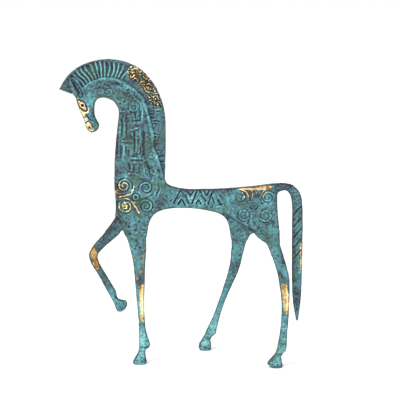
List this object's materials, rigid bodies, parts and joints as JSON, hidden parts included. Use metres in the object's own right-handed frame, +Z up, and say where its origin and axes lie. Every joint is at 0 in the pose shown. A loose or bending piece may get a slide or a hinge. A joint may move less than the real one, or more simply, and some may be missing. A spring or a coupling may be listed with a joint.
{
  "type": "bronze horse statuette",
  "caption": "Patinated bronze statuette of a walking horse in a flat archaic manner, with an arched maned neck, a hanging tail and a raised foreleg.",
  "frame": {"origin": "under the middle of the object, level with the soles of the three standing hooves, on the plane where the two half castings meet", "axes": "+Z up, +X from head to tail, +Y away from the near side"},
  "size_m": [0.1768, 0.0616, 0.2215],
  "materials": {
    "patinated_bronze": "cast, with a turquoise verdigris patina over dark bronze",
    "bare_bronze": "drawn, unpatinated",
    "worn_bronze": "rubbed bright through the patina"
  },
  "bodies": {
    "root": {"near_side": "patinated_bronze", "far_side": "patinated_bronze", "mane_crest": "patinated_bronze", "tail": "patinated_bronze", "near_foreleg": "patinated_bronze", "raised_foreleg": "patinated_bronze", "near_hind_leg": "patinated_bronze", "far_hind_leg": "patinated_bronze", "near_foreleg_dowel": "bare_bronze", "raised_foreleg_dowel": "bare_bronze", "near_hind_dowel": "bare_bronze", "far_hind_dowel": "bare_bronze", "neck_rivet": "worn_bronze", "shoulder_rivet": "worn_bronze", "rump_rivet": "worn_bronze", "crest_rivets": "worn_bronze", "tail_pin": "worn_bronze"}
  },
  "joints": []
}
